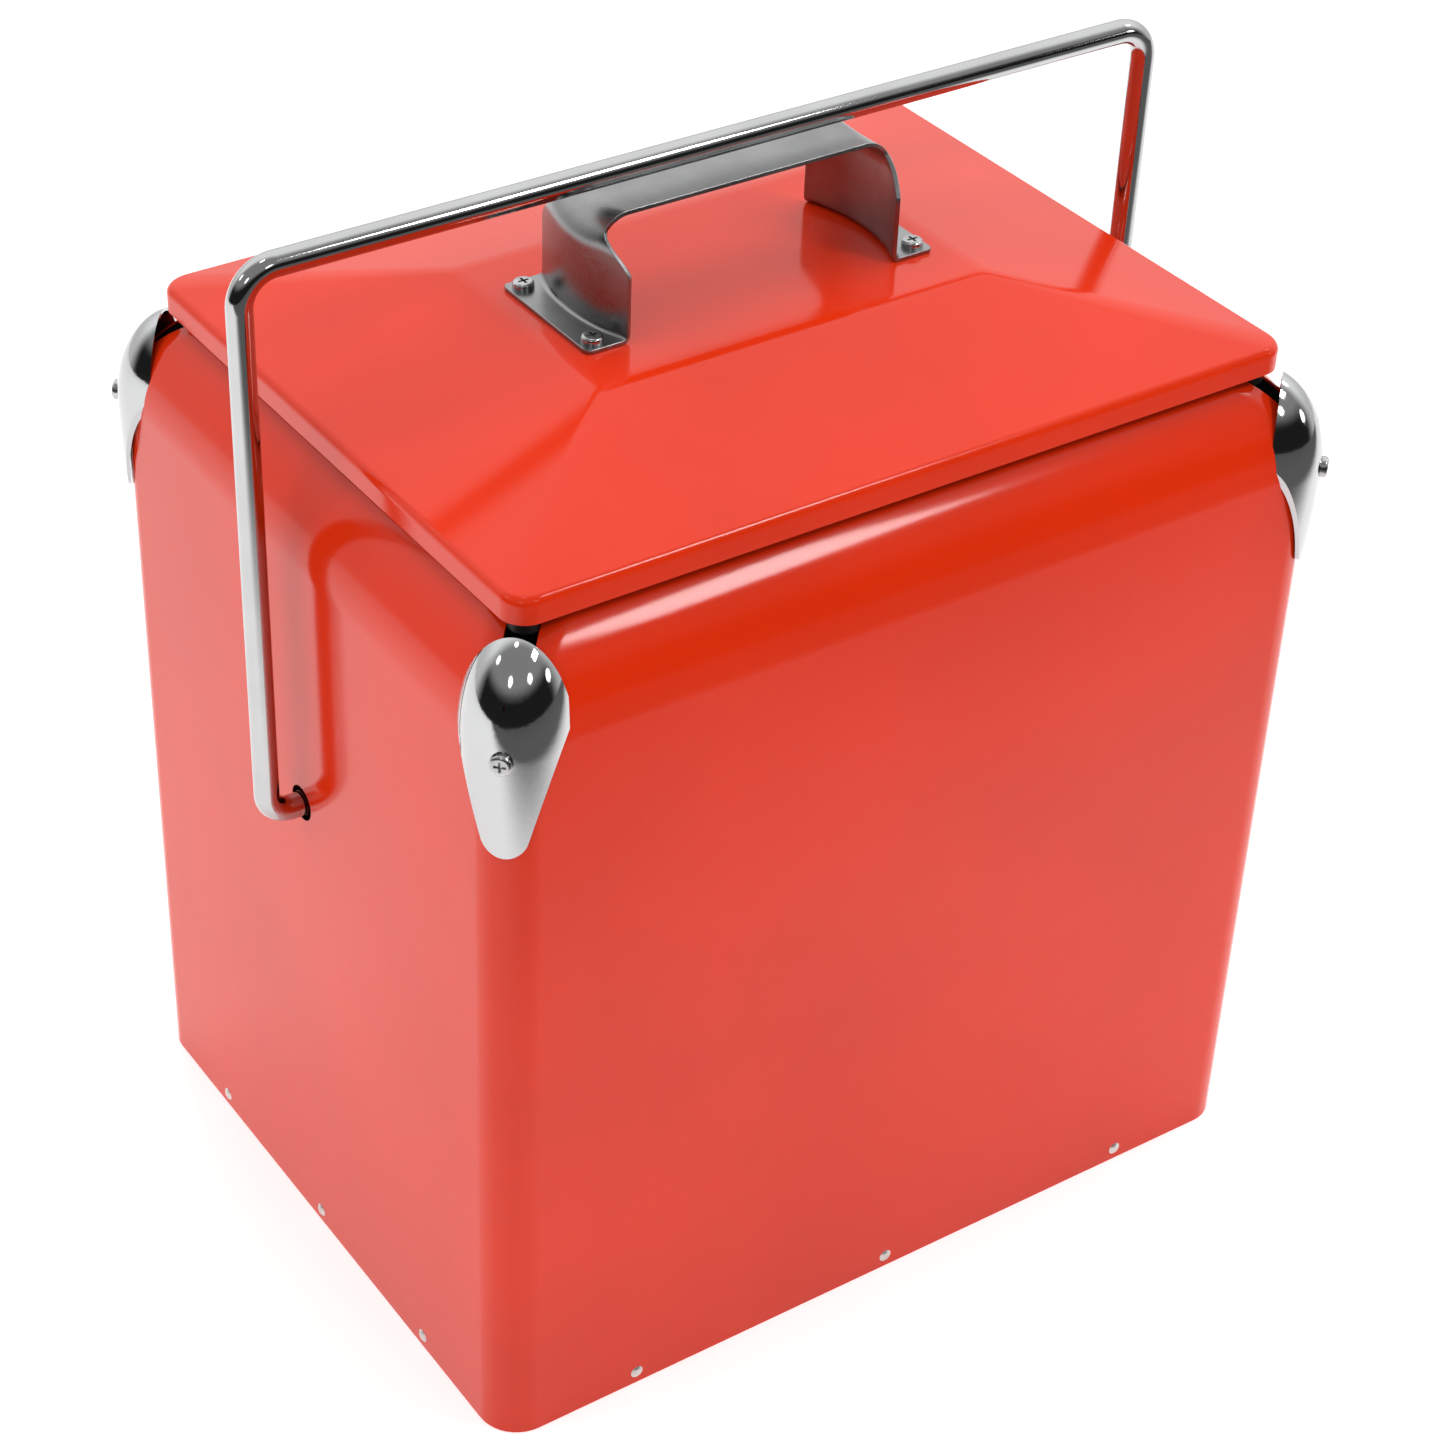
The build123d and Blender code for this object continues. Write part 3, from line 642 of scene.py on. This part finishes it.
class Bar:
    """Round bar grown ring by ring from one end."""

    def __init__(self, bm, start, heading, radius, sides):
        self.bm = bm
        self.place = Vector(start)
        self.heading = Vector(heading)
        turn = Vector((0, 0, 1)).rotation_difference(self.heading).to_matrix().to_4x4()
        bmesh.ops.create_circle(
            bm, cap_ends=True, radius=radius, segments=sides, matrix=Matrix.Translation(self.place) @ turn
        )
        self.ring = bm.edges[:]

    def run(self, distance):
        """Straight stretch."""
        grown = bmesh.ops.extrude_edge_only(self.bm, edges=self.ring)["geom"]
        self.ring = only(grown, bmesh.types.BMEdge)
        verts = only(grown, bmesh.types.BMVert)
        bmesh.ops.translate(self.bm, vec=self.heading * distance, verts=verts)
        self.place += self.heading * distance

    def bend(self, radius, towards, steps):
        """Quarter turn towards a direction square to the heading."""
        towards = Vector(towards)
        axis = self.heading.cross(towards)
        grown = bmesh.ops.spin(
            self.bm, geom=self.ring, cent=self.place + towards * radius, axis=axis, dvec=(0, 0, 0),
            angle=pi / 2, steps=steps, use_merge=False, use_duplicate=False,
        )["geom_last"]
        self.ring = only(grown, bmesh.types.BMEdge)
        self.place += (self.heading + towards) * radius
        self.heading = towards

    def close(self):
        """Flat face across the last ring."""
        bmesh.ops.contextual_create(self.bm, geom=self.ring)


class COOLER_OT_bail(bpy.types.Operator):
    """Builds the bail: one round bar bent over the lid, its ends turned in through the walls"""

    bl_idname = "cooler.bail"
    bl_label = "Bail"

    def execute(self, context):
        rod = context.scene.cooler.rod
        low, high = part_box("bail")
        radius = (high.y - low.y) / 2
        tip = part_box("bail_retainer_right")[0].x - rod.tail
        half_width = high.x - radius
        foot = low.z + radius
        top = high.z - radius
        bm = bmesh.new()
        bar = Bar(bm, (-tip, 0, foot), (-1, 0, 0), radius, rod.sides)
        bar.run(half_width - tip - rod.foot_bend)
        bar.bend(rod.foot_bend, (0, 0, 1), 14)
        bar.run(top - foot - rod.foot_bend - rod.top_bend)
        bar.bend(rod.top_bend, (1, 0, 0), 18)
        bar.run(2 * (half_width - rod.top_bend))
        bar.bend(rod.top_bend, (0, 0, -1), 18)
        bar.run(top - foot - rod.foot_bend - rod.top_bend)
        bar.bend(rod.foot_bend, (-1, 0, 0), 14)
        bar.run(half_width - tip - rod.foot_bend)
        bar.close()
        bmesh.ops.remove_doubles(bm, verts=bm.verts, dist=level)
        bmesh.ops.recalc_face_normals(bm, faces=bm.faces)
        ends = edges_where(bm, lambda co: abs(abs(co.x) - tip) < level)
        round_edges(bm, ends, rod.end_round, 3)
        piece("bail_bar", bm, "bail", "bail_chrome", "bail")
        return {"FINISHED"}


class COOLER_OT_handle(bpy.types.Operator):
    """Builds the lid handle: a strap with bowed legs, a dished bridge and two feet"""

    bl_idname = "cooler.handle"
    bl_label = "Lid handle"

    def execute(self, context):
        strap = context.scene.cooler.strap
        low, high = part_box("lid_handle")
        half_width = high.y
        bridge_half = strap.bridge_width / 2
        bow_radius = (half_width**2 + strap.bow**2) / (2 * strap.bow)
        dish_radius = (bridge_half**2 + strap.dish**2) / (2 * strap.dish)
        foot_top = low.z + strap.thickness
        narrowing = high.z - strap.narrow_drop
        bend, foot_bend = strap.bend, strap.foot_bend
        bend_arc, foot_arc = bend * pi / 2, foot_bend * pi / 2

        def runs(out, top):
            """Straight runs of one line along half the strap: over the bridge, down the leg and out."""
            return out - bend, top - bend - foot_top - foot_bend, high.x - out - foot_bend

        def along(distance, out, top):
            """Place at a distance along one line, from the bridge's middle towards the foot's edge."""
            bridge, leg, _ = runs(out, top)
            if distance < bridge:
                return distance, top
            distance -= bridge
            if distance < bend_arc:
                turn = distance / bend
                return bridge + bend * sin(turn), top - bend + bend * cos(turn)
            distance -= bend_arc
            if distance < leg:
                return out, top - bend - distance
            distance -= leg
            if distance < foot_arc:
                turn = distance / foot_bend
                return out + foot_bend * (1 - cos(turn)), foot_top + foot_bend * (1 - sin(turn))
            return out + foot_bend + distance - foot_arc, foot_top

        def half_width_at(height):
            """Half the strap's width at a height: wide legs that narrow smoothly into the bridge."""
            risen = min(max((height - narrowing) / strap.narrow_rise, 0.0), 1.0)
            eased = risen * risen * (3 - 2 * risen)
            return half_width + (bridge_half - half_width) * eased

        bm = bmesh.new()
        edge_line = sum(runs(strap.leg_out, high.z)) + bend_arc + foot_arc
        for vert in bmesh.ops.create_grid(bm, x_segments=28, y_segments=150, size=1.0)["verts"]:
            side, step = vert.co.x, (vert.co.y + 1) / 2
            height = along(step * edge_line, strap.leg_out, high.z)[1]
            y = side * half_width_at(height)
            out = strap.leg_out - bow_radius + sqrt(bow_radius**2 - y**2)
            dish_y = min(abs(y), bridge_half)
            top = high.z - strap.dish + dish_radius - sqrt(dish_radius**2 - dish_y**2)
            # Every line has its own length, so that all of them end on the foot's straight edge
            line = sum(runs(out, top)) + bend_arc + foot_arc
            left = line * (1 - step)
            if left < strap.foot_corner:
                trim = strap.foot_corner - sqrt(strap.foot_corner**2 - (strap.foot_corner - left) ** 2)
                y = side * (half_width - trim)
            x, z = along(step * line, out, top)
            vert.co = (x if x > level else 0.0, y, z)
        bmesh.ops.mirror(bm, geom=bm.verts[:] + bm.edges[:] + bm.faces[:], merge_dist=level, axis="X")
        bmesh.ops.remove_doubles(bm, verts=bm.verts, dist=level)
        bmesh.ops.recalc_face_normals(bm, faces=bm.faces)
        bridge = max(bm.faces, key=height_of)
        if bridge.normal.z < 0:
            bmesh.ops.reverse_faces(bm, faces=bm.faces)
        bmesh.ops.solidify(bm, geom=bm.faces[:], thickness=strap.thickness)
        piece("handle_strap", bm, "lid", "handle_chrome", "lid_handle", bevel=strap.edge)
        return {"FINISHED"}


class COOLER_OT_kept(bpy.types.Operator):
    """Gives every frame part that stays in view its finish"""

    bl_idname = "cooler.kept"
    bl_label = "Kept parts"

    def execute(self, context):
        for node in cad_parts.values():
            for slot in node.material_slots:
                name = slot.material.name.split(".")[0]
                slot.material = finish_for(name)
        return {"FINISHED"}


# Stage ----------------------------------------------------------------------------------------


# Bearings of the round ceiling lights from the chest: azimuth and elevation in degrees
ceiling_bearings = ((-72, 82), (75, 42), (-107, 39), (-48, 33), (6, 30), (48, 13))


def bearing(azimuth, elevation):
    """Direction with this azimuth, from the front towards +X, and this elevation from level."""
    return Vector((sin(azimuth) * cos(elevation), -cos(azimuth) * cos(elevation), sin(elevation)))


def put(name, data, place, turn):
    """Puts a light, a camera or a mesh in the scene."""
    made = bpy.data.objects.new(name, data)
    made.matrix_world = Matrix.Translation(place) @ turn.to_4x4()
    bpy.context.scene.collection.objects.link(made)
    return made


def softbox(name, place, target, shape, width, height, power):
    """Area light that faces a target and doesn't show to the camera."""
    data = bpy.data.lights.new(name, "AREA")
    data.shape = shape
    data.size = width
    data.size_y = height
    data.energy = power
    made = put(name, data, place, (target - place).to_track_quat("-Z", "Y").to_matrix())
    made.visible_camera = False
    return made


class COOLER_OT_stage(bpy.types.Operator):
    """Sets out the pale floor, the soft lights, the surroundings and the camera"""

    bl_idname = "cooler.stage"
    bl_label = "Stage"

    def execute(self, context):
        studio = context.scene.cooler.studio
        self.floor(studio)
        self.surroundings(studio)
        self.lights(studio)
        self.camera(studio)
        context.scene.view_settings.view_transform = "Standard"
        return {"FINISHED"}

    def floor(self, studio):
        """Round floor just under the chest."""
        clearance = 0.0002
        bm = bmesh.new()
        bmesh.ops.create_circle(bm, cap_ends=True, radius=studio.floor_radius, segments=96)
        bmesh.ops.translate(bm, vec=(0, 0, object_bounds()[0][2] - clearance), verts=bm.verts)
        mesh = bpy.data.meshes.new("floor")
        bm.to_mesh(mesh)
        bm.free()
        mesh.materials.append(floor_finish(studio))
        put("floor", mesh, Vector(), Matrix.Identity(3))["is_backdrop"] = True

    def surroundings(self, studio):
        """White to the camera; to the pieces, a dark room in front and a bright one behind."""
        world = bpy.data.worlds.new("studio")
        bpy.context.scene.world = world
        world.use_nodes = True
        made = Finish("studio", world.node_tree)
        facing = made.node("ShaderNodeTexCoord", output="Generated")
        x, y, z = (made.node("ShaderNodeSeparateXYZ", {}, {"Vector": facing}, axis) for axis in "XYZ")
        behind = (x * -sin(studio.azimuth) + y * cos(studio.azimuth)).above(-0.15, 0.35)
        back_light = 0.88 + z.above(0.0, 0.6) * 0.50
        front_light = 0.02 + z.above(0.2, 0.5) * 0.36
        light = behind * back_light + (1.0 - behind) * front_light
        room = made.node("ShaderNodeBackground", {}, {"Color": white, "Strength": light})
        plain = made.node("ShaderNodeBackground", {}, {"Color": white, "Strength": 1.0})
        seen = made.node("ShaderNodeLightPath", output="Is Camera Ray")
        both = made.node("ShaderNodeMixShader", {}, {0: seen, 1: room, 2: plain})
        made.node("ShaderNodeOutputWorld", {}, {"Surface": both})

    def lights(self, studio):
        """A key that streaks the front shoulder, two broad fills and the ceiling's round lights."""
        middle = Vector((0, 0, 0.25))
        shoulder = Vector((-0.075, -0.114, 0.312))
        key = shoulder + bearing(radians(44), radians(45)) * 1.05
        softbox("key_light", key, shoulder, "RECTANGLE", 0.26, 0.20, studio.key_power)
        side = softbox("side_fill", Vector((-1.7, 0.1, 1.3)), middle, "SQUARE", 1.6, 1.6, studio.side_power)
        top = softbox("top_fill", Vector((0.0, 0.3, 2.4)), middle, "SQUARE", 2.2, 2.2, studio.top_power)
        for fill in (side, top):
            fill.visible_glossy = False
        size = studio.spot_size
        for number, (azimuth, elevation) in enumerate(ceiling_bearings, start=1):
            place = middle + bearing(radians(azimuth), radians(elevation)) * studio.spot_distance
            softbox(f"ceiling_light_{number}", place, middle, "DISK", size, size, studio.spot_power)

    def camera(self, studio):
        """Camera at its place, turned by azimuth, elevation and roll."""
        data = bpy.data.cameras.new("camera")
        data.lens = studio.focal_length
        data.shift_x = studio.shift_x
        data.shift_y = studio.shift_y
        back = bearing(studio.azimuth, studio.elevation)
        right = Vector((0, 0, 1)).cross(back).normalized()
        up = back.cross(right)
        roll = studio.roll
        axes = (right * cos(roll) + up * sin(roll), up * cos(roll) - right * sin(roll), back)
        made = put("camera", data, studio.camera_place, Matrix(axes).transposed())
        bpy.context.scene.camera = made


# Registration ---------------------------------------------------------------------------------

makers = (COOLER_OT_shell, COOLER_OT_lid, COOLER_OT_bail, COOLER_OT_handle, COOLER_OT_kept, COOLER_OT_stage)


class COOLER_PT_panel(bpy.types.Panel):
    """Lists the cooler's makers and settings"""

    bl_idname = "COOLER_PT_panel"
    bl_label = "Picnic cooler"
    bl_space_type = "VIEW_3D"
    bl_region_type = "UI"
    bl_category = "Cooler"

    def draw(self, context):
        for maker in makers:
            self.layout.operator(maker.bl_idname)
        for group in ("sheet", "strap", "rod", "finishes", "studio"):
            values = getattr(context.scene.cooler, group)
            box = self.layout.box()
            for name in values.bl_rna.properties.keys():
                if name not in ("rna_type", "name"):
                    box.prop(values, name)


classes = (
    COOLER_PG_sheet,
    COOLER_PG_strap,
    COOLER_PG_rod,
    COOLER_PG_finishes,
    COOLER_PG_studio,
    COOLER_PG_settings,
    *makers,
    COOLER_PT_panel,
)


def register():
    """Makes the cooler's settings, makers and panel known."""
    for cls in classes:
        bpy.utils.register_class(cls)
    bpy.types.Scene.cooler = PointerProperty(type=COOLER_PG_settings)


def unregister():
    """Takes them away again."""
    del bpy.types.Scene.cooler
    for cls in reversed(classes):
        bpy.utils.unregister_class(cls)


def main():
    """Makes the whole model."""
    register()
    for maker in makers:
        group, name = maker.bl_idname.split(".")
        getattr(getattr(bpy.ops, group), name)()


if __name__ == "__main__":
    main()
